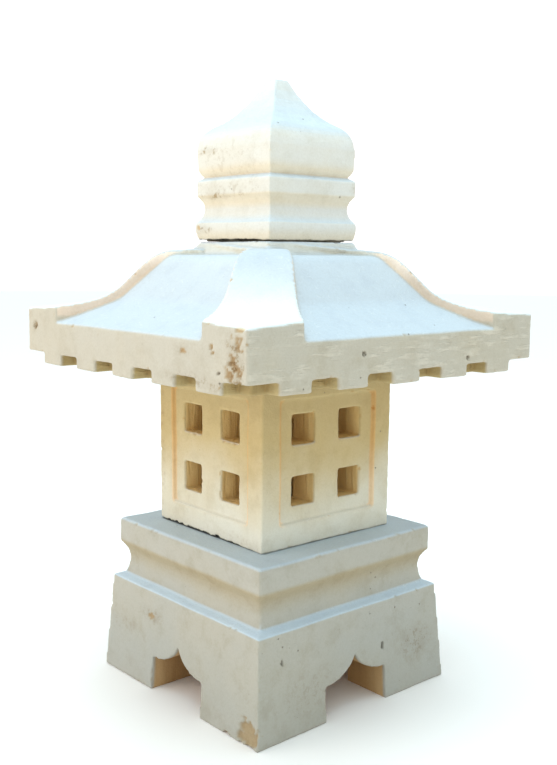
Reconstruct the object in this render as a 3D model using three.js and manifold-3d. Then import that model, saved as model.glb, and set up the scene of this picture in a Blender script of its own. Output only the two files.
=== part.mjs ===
// A carved limestone garden lantern: four dry-stacked stones (base, lamp house, roof and finial)
// around a small electric light fitting. Millimetres, +Z up. The origin is the centre of the
// footprint, on the ground, and the stones' faces look along X and Y.

import * as THREE from "three";
import { mergeVertices } from "three/addons/utils/BufferGeometryUtils.js";
import Module from "manifold-3d";

const wasm = await Module();
wasm.setup();

// ---- Driving dimensions -------------------------------------------------------------------
// "half" is always half the width of a square section. Every stone's heights start at its seat.

const CURVE_STEPS = 6; // straight pieces in each curved stretch of an outline
const ROUND_SEGMENTS = 24; // sides of the round parts
const REGISTER_HEIGHT = 10; // the square bosses that keep the lamp house in place
const REGISTER_CLEARANCE = 2;
const OVERLAP = 2; // how far joined solids run into each other, and cutters past a face

const BASE = {
  height: 200.5,
  footHalf: 157.2,
  blockTopHalf: 148.7,
  blockTop: 123.5,
  neckFootHalf: 137,
  neckFoot: 127.8,
  neckWaistHalf: 132.4,
  neckTopHalf: 135,
  neckTop: 159.5,
  slabPull: [138.4, 161],
  slabHalf: 142,
  slabFoot: 169.5,
  slabRound: 5,
  hollowHalf: 89,
  hollowTop: 86,
  cableHoleRadius: 9,
};

const ARCH = { half: 50.5, spring: 42, apex: 75 };

const HOUSE = {
  half: 104,
  height: 203,
  wall: 45,
  panelHalf: 75.5,
  panelHalfHeight: 73.5,
  panelDepth: 4,
  panelCentre: 102,
  windowSize: 36.3,
  windowPitch: 74.6,
  windowRise: 73.5,
};

const ROOF = {
  half: 225,
  eaveTop: 53.5,
  shelfHalf: 104,
  shelfTop: 137,
  shelfInnerTop: 138,
  collarFootHalf: 76.5,
  collarTopHalf: 69,
  height: 153.5,
};

// Bends of the slope's outline, as [distance from the centre line, height]: a long sweep up from
// the eave, a hollow, a straight pitch and a knee that rounds onto the shelf.
const SLOPE = {
  sweepPull: [198.5, 63],
  sweepEnd: [172, 76.5],
  hollowPull: [162, 81],
  hollowEnd: [156, 87.5],
  kneeStart: [118, 129],
  kneePull: [111, 136.5],
};

const DENTIL = { width: 42.5, pitch: 81, depth: 22.5, height: 14, perSide: 5 };

// The hip ridges are bands that widen from the collar to the corners. Distances run outwards
// from the centre along the diagonal.
const RIDGE = {
  start: 90,
  end: 330,
  startHalfWidth: 21,
  growth: 0.171, // half width gained for each millimetre outwards
  collarDistance: 100,
  collarTop: 145,
  cornerTop: 68,
  sweepPull: [262, 72],
  sweepEnd: [228, 80],
  hollowPull: [201, 86.5],
  hollowEnd: [186.5, 100.4],
  kneeStart: [160.6, 125.3],
  kneePull: [143, 142],
  kneeEnd: [124, 142.8],
};

const FINIAL = {
  height: 195.5,
  padHalf: 61,
  padHeight: 2,
  tenonHalf: 20,
  tenonLength: 26,
  socketClearance: 2,
  tipHalf: 9.6,
  rimHalf: 67.9,
  lowerBandPull: [72, 12],
  lowerBandTop: [70.4, 22.5],
  coveInPull: [63.4, 29],
  coveWaist: [62.6, 39.5],
  coveOutPull: [62.9, 49],
  upperBandFoot: [69.5, 55.2],
  upperBandTop: [69.8, 73.8],
  neck: [62.2, 78.8],
  bulbFootPull: [68.4, 82],
  bulbFoot: [68.7, 94.5],
  bulbTop: [69.1, 112],
  shoulderPull: [68.2, 130],
  shoulderEnd: [55.8, 138.6],
  spirePull: [28, 153],
};

const LAMPHOLDER = {
  flangeRadius: 38,
  flangeHeight: 5,
  bodyRadius: 24,
  height: 40,
  boreRadius: 14.8,
  floorFoot: 9,
  floorTop: 14,
  wireHoleRadius: 5,
  wireRoomRadius: 18,
  screwOffset: 31,
  screwHoleRadius: 2.4,
  bevel: 1.2,
  taper: 2,
};

const THREAD = { pitch: 3.6, depth: 0.35 };
const LINER = { outerRadius: 14.6, innerRadius: 14.2, foot: 16, top: 38 };
const CONTACT = { radius: 7, crownRadius: 3.5, edge: 0.7, thickness: 1.2 };
const PLUG = { outerRadius: 3, innerRadius: 2, length: 24, holeRadius: 3.3, holeDepth: 26 };
const SCREW = {
  radius: 1.7,
  length: 24,
  pointLength: 3,
  headRadius: 4,
  crownRadius: 2.4,
  headHeight: 2.4,
  slotWidth: 1,
};
const GROMMET = {
  flangeRadius: 14,
  flangeHeight: 3,
  bevel: 1,
  sleeveRadius: 8.7,
  sleeveHeight: 12,
  boreRadius: 4,
};

const BULB = {
  capFoot: 16,
  capRadius: 12.7,
  capWall: 0.8,
  capTop: 41,
  footRadius: 5,
  shoulderRadius: 9,
  shoulderRise: 1.5,
  threadRise: 4,
  collar: 3,
  floor: 5,
  tipFoot: 15.6,
  tipHeight: 0.4,
  tipRadius: 4,
  tipFootRadius: 2.5,
  globeRadius: 22.5,
  globeCentre: 66.5,
  neckAngle: 0.75, // where the neck runs into the globe, in radians below its equator
  globeWall: 1.2,
  neckRadius: 12.2,
  neckRise: 6,
};

// Heights of the stones' seats above the ground, and of the light fitting's.
const HOUSE_SEAT = BASE.height;
const ROOF_SEAT = HOUSE_SEAT + HOUSE.height;
const FINIAL_SEAT = ROOF_SEAT + ROOF.height;
const FITTING_SEAT = BASE.height + REGISTER_HEIGHT;

const HOUSE_HOLLOW_HALF = HOUSE.half - HOUSE.wall;
const REGISTER_HALF = HOUSE_HOLLOW_HALF - REGISTER_CLEARANCE;

// ---- Geometry helpers ---------------------------------------------------------------------

const QUARTER = Math.PI / 2;
const STEPS_PER_MM = 1000; // coordinates are rounded to the nearest micrometre

// A closed geometry as a solid that booleans accept. Rounding makes faces that meet agree.
function toSolid(geometry) {
  const bare = geometry.clone();
  bare.deleteAttribute("normal");
  bare.deleteAttribute("uv");
  const positions = bare.attributes.position.array;
  positions.forEach((value, i) => {
    positions[i] = Math.round(value * STEPS_PER_MM) / STEPS_PER_MM;
  });
  const merged = mergeVertices(bare, 1e-4);
  return new wasm.Manifold(new wasm.Mesh({
    numProp: 3,
    vertProperties: merged.attributes.position.array,
    triVerts: new Uint32Array(merged.index.array),
  }));
}

function toGeometry(solid) {
  const { vertProperties, triVerts } = solid.getMesh();
  const geometry = new THREE.BufferGeometry();
  geometry.setAttribute("position", new THREE.BufferAttribute(vertProperties, 3));
  geometry.setIndex(new THREE.BufferAttribute(triVerts, 1));
  const faceted = geometry.toNonIndexed();
  faceted.computeVertexNormals();
  return faceted;
}

// A square block on the axis, or centred on (x, y), from height bottom to height top.
function block(half, bottom, top, halfY = half, x = 0, y = 0) {
  const geometry = new THREE.BoxGeometry(2 * half, 2 * halfY, top - bottom);
  return toSolid(geometry.translate(x, y, (bottom + top) / 2));
}

// An outline of [radius, height] turned about Z.
function turned(outline, segments = ROUND_SEGMENTS) {
  const points = outline.map(([radius, height]) => new THREE.Vector2(radius, height));
  const geometry = new THREE.LatheGeometry(points, segments);
  return toSolid(geometry.rotateX(QUARTER));
}

// An outline of [half width, height] carried round four square faces.
function fourSided(outline) {
  const points = outline.map(([half, height]) => new THREE.Vector2(half * Math.SQRT2, height));
  const geometry = new THREE.LatheGeometry(points, 4, Math.PI / 4);
  return toSolid(geometry.rotateX(QUARTER));
}

// A shape drawn in (x, z), pushed out to "half" on both sides of the plane y = 0.
function pushedAlongY(shape, half) {
  const options = { depth: 2 * half, bevelEnabled: false, curveSegments: 2 * CURVE_STEPS };
  const geometry = new THREE.ExtrudeGeometry(shape, options);
  return toSolid(geometry.rotateX(QUARTER).translate(0, half, 0));
}

// A shape drawn in (x, y), pushed up from height bottom to height top.
function pushedAlongZ(shape, bottom, top) {
  const options = { depth: top - bottom, bevelEnabled: false };
  return toSolid(new THREE.ExtrudeGeometry(shape, options).translate(0, 0, bottom));
}

function pointsOf(path) {
  return path.getPoints(CURVE_STEPS).map((point) => [point.x, point.y]);
}

function quarterTurns(solid) {
  return [0, 1, 2, 3].map((turn) => solid.rotate([0, 0, 90 * turn]));
}

const join = (solids) => solids.reduce((whole, next) => whole.add(next));
const cut = (solid, cutters) => cutters.reduce((rest, cutter) => rest.subtract(cutter), solid);

// ---- Base stone ---------------------------------------------------------------------------

function baseOutline() {
  const path = new THREE.Path();
  path.moveTo(0, 0);
  path.lineTo(BASE.footHalf, 0);
  path.lineTo(BASE.blockTopHalf, BASE.blockTop);
  path.lineTo(BASE.neckFootHalf, BASE.neckFoot);
  const waistHeight = (BASE.neckFoot + BASE.neckTop) / 2;
  path.quadraticCurveTo(BASE.neckWaistHalf, waistHeight, BASE.neckTopHalf, BASE.neckTop);
  path.quadraticCurveTo(...BASE.slabPull, BASE.slabHalf, BASE.slabFoot);
  path.lineTo(BASE.slabHalf, BASE.height - BASE.slabRound);
  path.quadraticCurveTo(BASE.slabHalf, BASE.height, BASE.slabHalf - BASE.slabRound, BASE.height);
  path.lineTo(0, BASE.height);
  return pointsOf(path);
}

// The gap between two feet: upright sides, then two convex lobes that meet in a cusp.
function archShape() {
  const rise = ARCH.apex - ARCH.spring;
  const shape = new THREE.Shape();
  shape.moveTo(-ARCH.half, -OVERLAP);
  shape.lineTo(ARCH.half, -OVERLAP);
  shape.lineTo(ARCH.half, ARCH.spring);
  shape.absellipse(ARCH.half, ARCH.apex, ARCH.half, rise, 3 * QUARTER, 2 * QUARTER, true);
  shape.absellipse(-ARCH.half, ARCH.apex, ARCH.half, rise, 0, -QUARTER, true);
  return shape;
}

function wallPlugHoles() {
  const top = FITTING_SEAT + OVERLAP;
  const bottom = FITTING_SEAT - PLUG.holeDepth;
  const hole = turned([[0, bottom], [PLUG.holeRadius, bottom], [PLUG.holeRadius, top], [0, top]]);
  return [-1, 1].map((side) => hole.translate([side * LAMPHOLDER.screwOffset, 0, 0]));
}

function baseStone() {
  const register = block(REGISTER_HALF, BASE.height - OVERLAP, FITTING_SEAT);
  const arch = pushedAlongY(archShape(), BASE.footHalf + OVERLAP);
  const hollow = block(BASE.hollowHalf, -OVERLAP, BASE.hollowTop);
  const radius = BASE.cableHoleRadius;
  const top = FITTING_SEAT + OVERLAP;
  const cableHole = turned([[0, 0], [radius, 0], [radius, top], [0, top]]);
  const cutters = [arch, arch.rotate([0, 0, 90]), hollow, cableHole, ...wallPlugHoles()];
  return cut(fourSided(baseOutline()).add(register), cutters);
}

// ---- Lamp house ---------------------------------------------------------------------------

// Every window is cut right through to the opposite face's window.
function windowCutters() {
  const half = HOUSE.windowSize / 2;
  const cutters = [];
  for (const across of [-1, 1]) {
    for (const up of [-1, 1]) {
      const centre = HOUSE.panelCentre + (up * HOUSE.windowRise) / 2;
      const x = (across * HOUSE.windowPitch) / 2;
      cutters.push(block(half, centre - half, centre + half, HOUSE.half + OVERLAP, x));
    }
  }
  return cutters;
}

// A shallow sunk field round the windows of one face.
function panelCutter() {
  const low = HOUSE.panelCentre - HOUSE.panelHalfHeight;
  const high = HOUSE.panelCentre + HOUSE.panelHalfHeight;
  const halfDepth = HOUSE.panelDepth;
  return block(HOUSE.panelHalf, low, high, halfDepth, 0, HOUSE.half);
}

function lampHouse() {
  const hollow = block(HOUSE_HOLLOW_HALF, -OVERLAP, HOUSE.height + OVERLAP);
  const windows = windowCutters();
  const acrossWindows = windows.map((cutter) => cutter.rotate([0, 0, 90]));
  const cutters = [hollow, ...quarterTurns(panelCutter()), ...windows, ...acrossWindows];
  return cut(block(HOUSE.half, 0, HOUSE.height), cutters);
}

// ---- Roof ---------------------------------------------------------------------------------

// From the underside round the eave and up the hollow-curved slope to the collar's foot.
function roofOutline() {
  const inner = ROOF.half - DENTIL.depth;
  const path = new THREE.Path();
  path.moveTo(0, 0);
  path.lineTo(inner, 0);
  path.lineTo(inner, DENTIL.height);
  path.lineTo(ROOF.half, DENTIL.height);
  path.lineTo(ROOF.half, ROOF.eaveTop);
  path.quadraticCurveTo(...SLOPE.sweepPull, ...SLOPE.sweepEnd);
  path.quadraticCurveTo(...SLOPE.hollowPull, ...SLOPE.hollowEnd);
  path.lineTo(...SLOPE.kneeStart);
  path.quadraticCurveTo(...SLOPE.kneePull, ROOF.shelfHalf, ROOF.shelfTop);
  path.lineTo(ROOF.collarFootHalf, ROOF.shelfInnerTop);
  path.lineTo(0, ROOF.shelfInnerTop);
  return pointsOf(path);
}

// The square blocks left standing between the notches along the foot of one fascia.
function dentils() {
  const half = DENTIL.width / 2;
  const halfDepth = (DENTIL.depth + OVERLAP) / 2;
  const row = [];
  for (let i = 0; i < DENTIL.perSide; i += 1) {
    const x = (i - (DENTIL.perSide - 1) / 2) * DENTIL.pitch;
    row.push(block(half, 0, DENTIL.height + OVERLAP, halfDepth, x, ROOF.half - halfDepth));
  }
  return row;
}

// The ridge's side view, drawn as (distance along the diagonal, height).
function ridgeShape() {
  const shape = new THREE.Shape();
  shape.moveTo(RIDGE.start, DENTIL.height + OVERLAP);
  shape.lineTo(RIDGE.end, DENTIL.height + OVERLAP);
  shape.lineTo(RIDGE.end, RIDGE.cornerTop);
  shape.quadraticCurveTo(...RIDGE.sweepPull, ...RIDGE.sweepEnd);
  shape.quadraticCurveTo(...RIDGE.hollowPull, ...RIDGE.hollowEnd);
  shape.lineTo(...RIDGE.kneeStart);
  shape.quadraticCurveTo(...RIDGE.kneePull, ...RIDGE.kneeEnd);
  shape.lineTo(RIDGE.collarDistance, RIDGE.collarTop);
  shape.lineTo(RIDGE.start, RIDGE.collarTop);
  return shape;
}

// The ridge's outline from above. A positive inset makes it narrower on each side.
function ridgePlan(inset) {
  const startHalf = RIDGE.startHalfWidth - inset;
  const endHalf = startHalf + (RIDGE.end - RIDGE.start) * RIDGE.growth;
  const shape = new THREE.Shape();
  shape.moveTo(RIDGE.start, -startHalf);
  shape.lineTo(RIDGE.end, -endHalf);
  shape.lineTo(RIDGE.end, endHalf);
  shape.lineTo(RIDGE.start, startHalf);
  return shape;
}

// One hip ridge, flush with both fascias at its corner.
function hipRidge() {
  const foot = DENTIL.height + OVERLAP;
  const band = pushedAlongZ(ridgePlan(0), foot, ROOF.height);
  const side = pushedAlongY(ridgeShape(), RIDGE.end / 2);
  const within = block(ROOF.half, foot, ROOF.height);
  return band.intersect(side).rotate([0, 0, 45]).intersect(within);
}

// Makes room in the slopes for one ridge, whose crown runs below the line where they meet.
function ridgeTrench() {
  const floor = DENTIL.height + 2 * OVERLAP;
  return pushedAlongZ(ridgePlan(1), floor, ROOF.height).rotate([0, 0, 45]);
}

function roof() {
  const slopes = cut(fourSided(roofOutline()), quarterTurns(ridgeTrench()));
  const core = block(ROOF.collarTopHalf, 0, ROOF.height);
  const collar = fourSided([
    [0, ROOF.eaveTop],
    [ROOF.collarFootHalf, ROOF.eaveTop],
    [ROOF.collarFootHalf, ROOF.shelfTop],
    [ROOF.collarTopHalf, ROOF.height],
    [0, ROOF.height],
  ]);
  const register = block(REGISTER_HALF, -REGISTER_HEIGHT, OVERLAP);
  const ridges = quarterTurns(hipRidge());
  const dentilRows = dentils().flatMap(quarterTurns);
  const socketHalf = FINIAL.tenonHalf + FINIAL.socketClearance;
  const socketFoot = ROOF.height - FINIAL.tenonLength - FINIAL.socketClearance;
  const socket = block(socketHalf, socketFoot, ROOF.height + OVERLAP);
  return join([slopes, core, collar, register, ...ridges, ...dentilRows]).subtract(socket);
}

// ---- Finial -------------------------------------------------------------------------------

// Two bands with a cove between them, a bulb, and a hollow-sided spire with a small flat top.
function finialOutline() {
  const path = new THREE.Path();
  path.moveTo(0, 0);
  path.lineTo(FINIAL.padHalf, 0);
  path.lineTo(FINIAL.padHalf, FINIAL.padHeight);
  path.lineTo(FINIAL.rimHalf, FINIAL.padHeight);
  path.quadraticCurveTo(...FINIAL.lowerBandPull, ...FINIAL.lowerBandTop);
  path.quadraticCurveTo(...FINIAL.coveInPull, ...FINIAL.coveWaist);
  path.quadraticCurveTo(...FINIAL.coveOutPull, ...FINIAL.upperBandFoot);
  path.lineTo(...FINIAL.upperBandTop);
  path.lineTo(...FINIAL.neck);
  path.quadraticCurveTo(...FINIAL.bulbFootPull, ...FINIAL.bulbFoot);
  path.lineTo(...FINIAL.bulbTop);
  path.quadraticCurveTo(...FINIAL.shoulderPull, ...FINIAL.shoulderEnd);
  path.quadraticCurveTo(...FINIAL.spirePull, FINIAL.tipHalf, FINIAL.height);
  path.lineTo(0, FINIAL.height);
  return pointsOf(path);
}

function finial() {
  const tenon = block(FINIAL.tenonHalf, -FINIAL.tenonLength, OVERLAP);
  return fourSided(finialOutline()).add(tenon);
}

// ---- Light fitting ------------------------------------------------------------------------
// Heights start at the top of the base stone's register boss.

function lampholderBody() {
  const { flangeRadius, flangeHeight, bodyRadius, height, boreRadius } = LAMPHOLDER;
  const { floorFoot, floorTop, wireHoleRadius, wireRoomRadius, bevel, taper } = LAMPHOLDER;
  const body = turned([
    [wireRoomRadius, 0],
    [flangeRadius, 0],
    [flangeRadius, flangeHeight - bevel],
    [flangeRadius - bevel, flangeHeight],
    [bodyRadius + taper, flangeHeight],
    [bodyRadius, flangeHeight + taper],
    [bodyRadius - taper, height - taper],
    [bodyRadius - 2 * taper, height],
    [boreRadius + bevel, height],
    [boreRadius, height - bevel],
    [boreRadius, floorTop],
    [wireHoleRadius, floorTop],
    [wireHoleRadius, floorFoot],
    [wireRoomRadius, floorFoot],
    [wireRoomRadius, 0],
  ]);
  const radius = LAMPHOLDER.screwHoleRadius;
  const top = flangeHeight + OVERLAP;
  const hole = turned([[0, -OVERLAP], [radius, -OVERLAP], [radius, top], [0, top]]);
  return cut(body, [-1, 1].map((side) => hole.translate([side * LAMPHOLDER.screwOffset, 0, 0])));
}

// A wavy wall standing for a rolled thread, as [radius, height] from foot to top.
function threadWall(radius, foot, top) {
  const stepsPerTurn = 4;
  const steps = Math.floor(((top - foot) / THREAD.pitch) * stepsPerTurn);
  return Array.from({ length: steps + 1 }, (_, i) => {
    const wave = Math.cos((2 * Math.PI * i) / stepsPerTurn);
    return [radius + THREAD.depth * wave, foot + (i / steps) * (top - foot)];
  });
}

function lampholderLiner() {
  const { outerRadius, innerRadius, foot, top } = LINER;
  const inside = threadWall(innerRadius - THREAD.depth, foot, top).reverse();
  return turned([[outerRadius, foot], [outerRadius, top], ...inside, [outerRadius, foot]]);
}

function lampholderContact() {
  const { radius, crownRadius, edge, thickness } = CONTACT;
  return turned([[0, 0], [radius, 0], [radius, edge], [crownRadius, thickness], [0, thickness]]);
}

function bulbCap() {
  const { capFoot, capRadius, capWall, capTop, footRadius, shoulderRadius, floor } = BULB;
  const wall = threadWall(capRadius, capFoot + BULB.threadRise, capTop - BULB.collar);
  const inner = capRadius - THREAD.depth - capWall;
  return turned([
    [0, capFoot],
    [footRadius, capFoot],
    [shoulderRadius, capFoot + BULB.shoulderRise],
    ...wall,
    [capRadius, capTop],
    [inner, capTop],
    [inner, capFoot + floor],
    [0, capFoot + floor],
  ]);
}

function bulbTip() {
  const { tipHeight, tipRadius, tipFootRadius } = BULB;
  return turned([[0, 0], [tipFootRadius, 0], [tipRadius, tipHeight], [0, tipHeight]]);
}

// A frosted glass shell, open where its neck stands on the cap.
function bulbGlobe() {
  const { neckRadius, globeRadius, globeCentre, neckAngle, globeWall, capTop } = BULB;
  const shoulderRadius = globeRadius * Math.cos(neckAngle);
  const shoulderHeight = globeCentre - globeRadius * Math.sin(neckAngle);
  const outer = new THREE.Path();
  outer.moveTo(neckRadius, capTop);
  outer.quadraticCurveTo(neckRadius, capTop + BULB.neckRise, shoulderRadius, shoulderHeight);
  outer.absarc(0, globeCentre, globeRadius, -neckAngle, QUARTER, false);
  const outside = pointsOf(outer);
  outside[outside.length - 1][0] = 0;
  const inside = outside.map(([radius, height]) => shrunk(radius, height, globeWall)).reverse();
  return turned([...inside, ...outside]);
}

// A point of the globe's outline moved inwards by the glass thickness.
function shrunk(radius, height, wall) {
  const { globeCentre, globeRadius, capTop } = BULB;
  if (height === capTop) return [radius - wall, height];
  const rise = height - globeCentre;
  const scale = (globeRadius - wall) / globeRadius;
  return [radius * scale, globeCentre + rise * scale];
}

function fixingScrew() {
  const { radius, length, pointLength, headRadius, crownRadius, headHeight, slotWidth } = SCREW;
  const screw = turned([
    [0, -length],
    [radius, pointLength - length],
    [radius, 0],
    [headRadius, 0],
    [headRadius, headHeight / 2],
    [crownRadius, headHeight],
    [0, headHeight],
  ]);
  const slot = block(headRadius + OVERLAP, headHeight / 2, headHeight + OVERLAP, slotWidth / 2);
  return screw.subtract(slot);
}

function wallPlug() {
  const { outerRadius, innerRadius, length } = PLUG;
  return turned([
    [innerRadius, -length],
    [outerRadius, -length],
    [outerRadius, 0],
    [innerRadius, 0],
    [innerRadius, -length],
  ]);
}

// Seats against the ceiling of the base stone's hollow, round the foot of the cable hole.
function cableGrommet() {
  const { flangeRadius, flangeHeight, bevel, sleeveRadius, sleeveHeight, boreRadius } = GROMMET;
  return turned([
    [boreRadius, -flangeHeight],
    [flangeRadius - bevel, -flangeHeight],
    [flangeRadius, bevel - flangeHeight],
    [flangeRadius, 0],
    [sleeveRadius, 0],
    [sleeveRadius, sleeveHeight],
    [boreRadius, sleeveHeight],
    [boreRadius, -flangeHeight],
  ]);
}

// ---- Assembly -----------------------------------------------------------------------------

const LIMESTONE = { color: 0xe6dcc3, roughness: 0.9, metalness: 0 };
const CERAMIC = { color: 0xf1eee6, roughness: 0.25, metalness: 0 };
const BRASS = { color: 0xb8934a, roughness: 0.35, metalness: 0.9 };
const STEEL = { color: 0xb9bcc0, roughness: 0.35, metalness: 1 };
const NYLON = { color: 0x8f9296, roughness: 0.6, metalness: 0 };
const RUBBER = { color: 0x222222, roughness: 0.85, metalness: 0 };
const FROSTED = { color: 0xf6f3ea, roughness: 0.5, metalness: 0 };

function part(name, solid, finish, height, x = 0) {
  const mesh = new THREE.Mesh(toGeometry(solid), new THREE.MeshStandardMaterial(finish));
  mesh.name = name;
  mesh.position.set(x, 0, height);
  return mesh;
}

function stones() {
  return [
    part("base_stone", baseStone(), LIMESTONE, 0),
    part("lamp_house", lampHouse(), LIMESTONE, HOUSE_SEAT),
    part("roof", roof(), LIMESTONE, ROOF_SEAT),
    part("finial", finial(), LIMESTONE, FINIAL_SEAT),
  ];
}

function lightFitting() {
  const floor = FITTING_SEAT + LAMPHOLDER.floorTop;
  const parts = [
    part("lampholder_body", lampholderBody(), CERAMIC, FITTING_SEAT),
    part("lampholder_liner", lampholderLiner(), BRASS, FITTING_SEAT),
    part("lampholder_contact", lampholderContact(), BRASS, floor),
    part("cable_grommet", cableGrommet(), RUBBER, BASE.hollowTop),
    part("bulb_cap", bulbCap(), BRASS, FITTING_SEAT),
    part("bulb_tip", bulbTip(), BRASS, FITTING_SEAT + BULB.tipFoot),
    part("bulb_globe", bulbGlobe(), FROSTED, FITTING_SEAT),
  ];
  [-1, 1].forEach((side, i) => {
    const x = side * LAMPHOLDER.screwOffset;
    const head = FITTING_SEAT + LAMPHOLDER.flangeHeight;
    parts.push(part(`fixing_screw_${i + 1}`, fixingScrew(), STEEL, head, x));
    parts.push(part(`wall_plug_${i + 1}`, wallPlug(), NYLON, FITTING_SEAT, x));
  });
  return parts;
}

const lantern = new THREE.Group();
lantern.add(...stones(), ...lightFitting());

export default lantern;
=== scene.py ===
"""Looks for a carved limestone garden lantern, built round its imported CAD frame. Metres, +Z up."""

import itertools
import math

import bmesh
import bpy
import numpy as np
from mathutils import Matrix, Vector
from mathutils.bvhtree import BVHTree


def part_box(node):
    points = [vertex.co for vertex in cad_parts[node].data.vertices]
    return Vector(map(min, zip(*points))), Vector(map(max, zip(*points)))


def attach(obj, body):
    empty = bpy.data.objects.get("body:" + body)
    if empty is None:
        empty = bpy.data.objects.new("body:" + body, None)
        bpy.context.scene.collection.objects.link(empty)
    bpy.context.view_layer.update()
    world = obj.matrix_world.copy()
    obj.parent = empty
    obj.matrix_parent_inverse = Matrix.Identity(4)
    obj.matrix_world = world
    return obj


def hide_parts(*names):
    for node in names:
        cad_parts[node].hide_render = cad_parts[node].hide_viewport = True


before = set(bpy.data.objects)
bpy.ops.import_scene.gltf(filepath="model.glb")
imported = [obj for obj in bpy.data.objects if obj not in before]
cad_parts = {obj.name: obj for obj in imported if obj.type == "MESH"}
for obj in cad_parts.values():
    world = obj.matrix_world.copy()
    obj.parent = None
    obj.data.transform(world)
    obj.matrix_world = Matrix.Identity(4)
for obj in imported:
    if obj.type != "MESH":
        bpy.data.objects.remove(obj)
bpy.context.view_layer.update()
MM = 0.001

# ---- Driving values ---------------------------------------------------------------------------

# The camera looks at a point near the lantern's axis, a little above half its height.
CAMERA_AZIMUTH = 48.79
CAMERA_ELEVATION = 7.38
CAMERA_ROLL = -0.49
CAMERA_DISTANCE = 1.2334
CAMERA_LENS = 45.69
TARGET_RIGHT = 0.0054
TARGET_HEIGHT = 0.3808

FLOOR_RADIUS = 14.0
WHITE = (1.0, 1.0, 1.0, 1)
WORLD_ABOVE = (0.82, 0.95, 1.0, 1)  # multiplies the white of the horizon
WORLD_RIGHT = (0.84, 0.86, 0.84, 1)
WORLD_STRENGTH = 1.2

STONES = {"base_stone": "base", "lamp_house": "lamp_house", "roof": "roof", "finial": "finial"}
THREAD_PITCH = 3.6  # of the lamp thread, millimetres
THREAD_DEPTH = 0.35
VOXEL = {"base_stone": 2.2, "lamp_house": 1.9, "roof": 2.4, "finial": 1.3}  # millimetres

# Broken-off places on the stones: centre, half sizes and depth, in millimetres.
FLAKES = {
    "base_stone": [
        ((140, -157, 14), (17, 12, 20), 3.4),
        ((100, -157, 0), (9, 6, 4), 3.0),
        ((-58, -150, 92), (10, 6, 3), 1.3),
        ((-141, -100, 190), (6, 7, 5), 1.8),
        ((-40, 152, 30), (9, 6, 7), 1.8),
        ((-152, 60, 4), (8, 12, 9), 2.6),
    ],
    "lamp_house": [
        ((-55, -102, 338.5), (3, 3, 2.5), 1.4),
        ((103, 75, 354.5), (4, 2, 3), 1.0),
        ((-104, 40, 205.5), (5, 9, 4), 1.6),
        ((60, 104, 398.5), (9, 4, 5), 1.5),
    ],
    "roof": [
        ((-204, -225, 449.5), (4.2, 9, 3.6), 7.0),
        ((168, -225, 451.5), (2.6, 4, 2.2), 3.0),
        ((170, -225, 445.5), (2.2, 4, 2.0), 3.0),
        ((120, -225, 443.5), (8, 4, 2.0), 1.0),
        ((214, -225, 472.5), (8, 5, 5), 2.6),
        ((-225, -30, 454.5), (5, 12, 5), 2.2),
        ((-90, 225, 438.5), (10, 4, 6), 2.0),
    ],
    "finial": [
        ((-66, -66, 573.5), (6, 6, 4), 1.4),
        ((-67, 20, 620.5), (4, 6, 4), 1.4),
    ],
}

# Small holes, written the same way, which are painted near black as shade.
HOLES = {
    "base_stone": [
        ((150, 47, 68), (6, 2.6, 6), 1.8),
        ((150, -116, 89), (6, 2, 4), 1.6),
    ],
    "roof": [
        ((225, -68, 440), (4, 3.4, 3), 2.4),
        ((225, 103, 425), (4, 3, 2.6), 2.0),
        ((180, -225, 426), (2.4, 4, 2.2), 2.0),
        ((-225, 60, 440), (4, 3, 3), 2.2),
    ],
    "finial": [((67.5, 44, 612), (3, 2, 2), 1.4)],
}

# Brown places: centre and half sizes, in millimetres, and strength. The two broad ones
# on the finial's left face are painted shade.
STAINS_AND_SHADE = {
    "base_stone": [
        ((150, 108, 62), (12, 34, 30), 0.55),
        ((152, -70, 40), (12, 60, 40), 0.30),
        ((-60, -150, 95), (26, 12, 12), 0.45),
        ((-120, -152, 70), (34, 12, 20), 0.25),
        ((-150, 40, 60), (12, 50, 40), 0.35),
    ],
    "lamp_house": [
        ((60, -104, 208.5), (50, 8, 10), 0.20),
        ((-102, -104, 300), (11, 8, 110), 0.45),
    ],
    "roof": [
        ((205, -225, 438), (18, 12, 33), 1.0),
        ((-204, -225, 449.5), (9, 9, 9), 0.8),
        ((150, -225, 414.5), (80, 10, 10), 0.5),
        ((120, -225, 443.5), (16, 6, 8), 0.45),
        ((-120, 225, 432.5), (60, 12, 20), 0.5),
    ],
    "finial": [
        ((-44, -67, 666.5), (28, 8, 7), 0.95),
        ((-18, -68, 612.5), (52, 8, 5), 0.95),
        ((-50, -70, 572.5), (22, 9, 7), 0.85),
        ((60, 68, 622.5), (20, 9, 9), 0.5),
        # Painted shade over the finial's left face.
        ((-4, -68, 654), (78, 12, 38), 0.26),
        ((-4, -68, 619), (78, 8, 14), 0.34),
    ],
}
# Gaps under most of a stone's rim and on its left, before they are made ragged, in millimetres.
JOINT_GAPS = {"lamp_house": (0.25, 3.2), "finial": (1.0, 1.6)}
TURNED = {"lamp_house": -1.0, "roof": -0.6}  # about the lantern's axis, in degrees
ROUGH_PATCH = ((206, -225, 438), (15, 12, 27))  # torn stone by the roof's near corner, millimetres

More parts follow.
